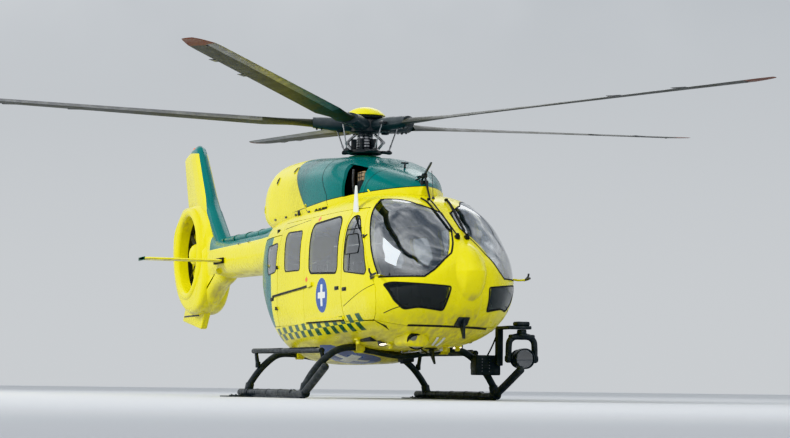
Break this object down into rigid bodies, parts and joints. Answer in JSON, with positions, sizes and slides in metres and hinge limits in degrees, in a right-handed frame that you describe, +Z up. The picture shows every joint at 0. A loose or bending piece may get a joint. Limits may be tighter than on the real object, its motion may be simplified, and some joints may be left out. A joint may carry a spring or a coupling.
{
  "type": "twin-engined rescue helicopter on skids",
  "caption": "Light twin-engined rescue helicopter: hinged cockpit and clamshell doors, five-bladed main rotor, shrouded tail rotor, skids and a searchlight.",
  "frame": {"origin": "on the ground, in the middle of the outline seen from above, on the body's plane of symmetry", "axes": "+X towards the nose, +Y to port, +Z up"},
  "size_m": [12.8226, 10.3013, 3.84],
  "materials": {
    "yellow_paint": "gloss",
    "green_paint": "gloss",
    "black_metal": "satin",
    "blade_skin": "matte",
    "window": "gloss",
    "dark_metal": "satin",
    "seat_cover": "matte",
    "exhaust_steel": "satin"
  },
  "bodies": {
    "airframe": {"lower_fuselage": "yellow_paint", "cabin_roof": "yellow_paint", "cockpit_shell": "yellow_paint", "nose_radome": "yellow_paint", "sliding_door_left": "yellow_paint", "sliding_window_left": "window", "side_panel_left": "yellow_paint", "side_window_left": "window", "windshield_left": "window", "chin_window_left": "window", "sliding_door_right": "yellow_paint", "sliding_window_right": "window", "side_panel_right": "yellow_paint", "side_window_right": "window", "windshield_right": "window", "chin_window_right": "window", "cowling_front": "green_paint", "cowling_rear": "yellow_paint", "engines": "dark_metal", "exhaust_left": "exhaust_steel", "exhaust_right": "exhaust_steel", "rotor_mast": "dark_metal", "tail_boom": "yellow_paint", "tail_shroud": "yellow_paint", "tail_fin": "yellow_paint", "horizontal_stabilizer": "yellow_paint", "skid_left": "black_metal", "skid_right": "black_metal", "cross_tube_front": "black_metal", "cross_tube_rear": "black_metal", "step_left": "black_metal", "step_right": "black_metal", "searchlight_mount": "black_metal", "wire_cutter_upper": "black_metal", "wire_cutter_lower": "black_metal", "pilot_seat_left": "seat_cover", "pilot_seat_right": "seat_cover", "cabin_seats": "seat_cover", "instrument_panel": "dark_metal"},
    "main_rotor": {"rotor_hub": "dark_metal", "rotor_blade_1": "blade_skin", "rotor_blade_2": "blade_skin", "rotor_blade_3": "blade_skin", "rotor_blade_4": "blade_skin", "rotor_blade_5": "blade_skin"},
    "tail_fan": {"tail_rotor": "dark_metal"},
    "cockpit_door_left_body": {"cockpit_door_left": "yellow_paint", "cockpit_window_left": "window"},
    "cockpit_door_right_body": {"cockpit_door_right": "yellow_paint", "cockpit_window_right": "window"},
    "clamshell_left_body": {"clamshell_door_left": "green_paint", "clamshell_window_left": "window"},
    "clamshell_right_body": {"clamshell_door_right": "green_paint", "clamshell_window_right": "window"},
    "searchlight_yoke_body": {"searchlight_yoke": "black_metal"},
    "searchlight_lamp_body": {"searchlight_lamp": "black_metal"}
  },
  "joints": [
    {"name": "main_rotor_turn", "type": "hinge", "parent": "airframe", "child": "main_rotor", "pos_m": [1.853, 0, 3.29], "axis": [0.0209, 0, 0.9998], "continuous": true},
    {"name": "tail_rotor_turn", "type": "hinge", "parent": "airframe", "child": "tail_fan", "pos_m": [-5.447, 0, 2.13], "axis": [0, 1, 0], "continuous": true},
    {"name": "cockpit_door_left_swing", "type": "hinge", "parent": "airframe", "child": "cockpit_door_left_body", "pos_m": [4.04, 0.804, 1.784], "axis": [0.5741, 0.0557, -0.8169], "range_deg": [0, 75]},
    {"name": "cockpit_door_right_swing", "type": "hinge", "parent": "airframe", "child": "cockpit_door_right_body", "pos_m": [4.04, -0.804, 1.784], "axis": [-0.5741, 0.0557, 0.8169], "range_deg": [0, 75]},
    {"name": "clamshell_left_swing", "type": "hinge", "parent": "airframe", "child": "clamshell_left_body", "pos_m": [1.137, 0.874, 1.33], "axis": [0, 0, -1], "range_deg": [0, 90]},
    {"name": "clamshell_right_swing", "type": "hinge", "parent": "airframe", "child": "clamshell_right_body", "pos_m": [1.137, -0.874, 1.33], "axis": [0, 0, 1], "range_deg": [0, 90]},
    {"name": "searchlight_pan", "type": "hinge", "parent": "airframe", "child": "searchlight_yoke_body", "pos_m": [3.633, 1.29, 0.78], "axis": [0, 0, 1], "range_deg": [-170, 170]},
    {"name": "searchlight_tilt", "type": "hinge", "parent": "searchlight_yoke_body", "child": "searchlight_lamp_body", "pos_m": [3.633, 1.29, 0.48], "axis": [0, 1, 0], "range_deg": [-20, 90]}
  ]
}
